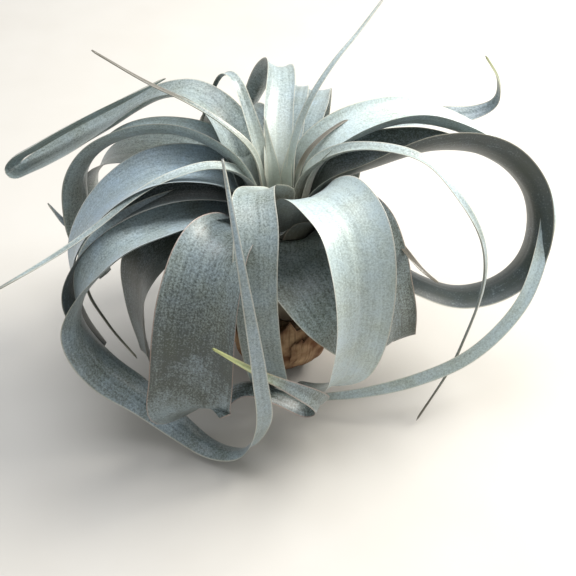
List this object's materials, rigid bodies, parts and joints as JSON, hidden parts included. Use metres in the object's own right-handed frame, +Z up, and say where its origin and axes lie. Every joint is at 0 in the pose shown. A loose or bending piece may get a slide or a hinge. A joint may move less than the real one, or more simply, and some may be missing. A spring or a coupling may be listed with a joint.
{
  "type": "air plant",
  "caption": "Loose rosette air plant with silvery, broad, arching and curling leaves on a short stem, with dry papery sheaths round its foot",
  "frame": {"origin": "centre of the stem's flat underside, on the floor", "axes": "+Z up; +X to the right and +Y away, seen from the front; millimetres in the source, metres here"},
  "size_m": [0.2467, 0.1786, 0.1675],
  "materials": {
    "leaf": "matte",
    "sheath": "matte",
    "stem": "matte"
  },
  "bodies": {
    "root": {"stem": "stem", "leaf_01_heart": "leaf", "leaf_02_heart": "leaf", "leaf_03_upright_right": "leaf", "leaf_04_upright_left": "leaf", "leaf_05_thin_right": "leaf", "leaf_06_back_channel": "leaf", "leaf_07_thin_arch": "leaf", "leaf_08_long_right": "leaf", "leaf_09_long_left": "leaf", "leaf_10_front": "leaf", "leaf_11_back": "leaf", "leaf_12_right_sweep": "leaf", "leaf_13_left_arch": "leaf", "leaf_14_back_broad": "leaf", "leaf_15_right_loop": "leaf", "leaf_16_left_broad": "leaf", "leaf_17_front_right_broad": "leaf", "leaf_18_left_hairpin": "leaf", "leaf_19_right_hook": "leaf", "leaf_20_left_under": "leaf", "leaf_21_left_loop": "leaf", "leaf_22_front_left_broad": "leaf", "leaf_23_right_broad": "leaf", "leaf_24_back_left": "leaf", "leaf_25_back_right": "leaf", "leaf_26_front_right_under": "leaf", "leaf_27_left_inner": "leaf", "leaf_28_thin_right_low": "leaf", "leaf_29_right_low": "leaf", "leaf_30_back_low": "leaf", "leaf_31_left_low": "leaf", "leaf_32_thin_left_low": "leaf", "leaf_33_front_left_low": "leaf", "leaf_34_back_left_low": "leaf", "dry_sheath_front": "sheath", "dry_sheath_front_right": "sheath", "dry_sheath_back_right": "sheath", "dry_sheath_back": "sheath", "dry_sheath_back_left": "sheath", "dry_sheath_front_left": "sheath"}
  },
  "joints": []
}
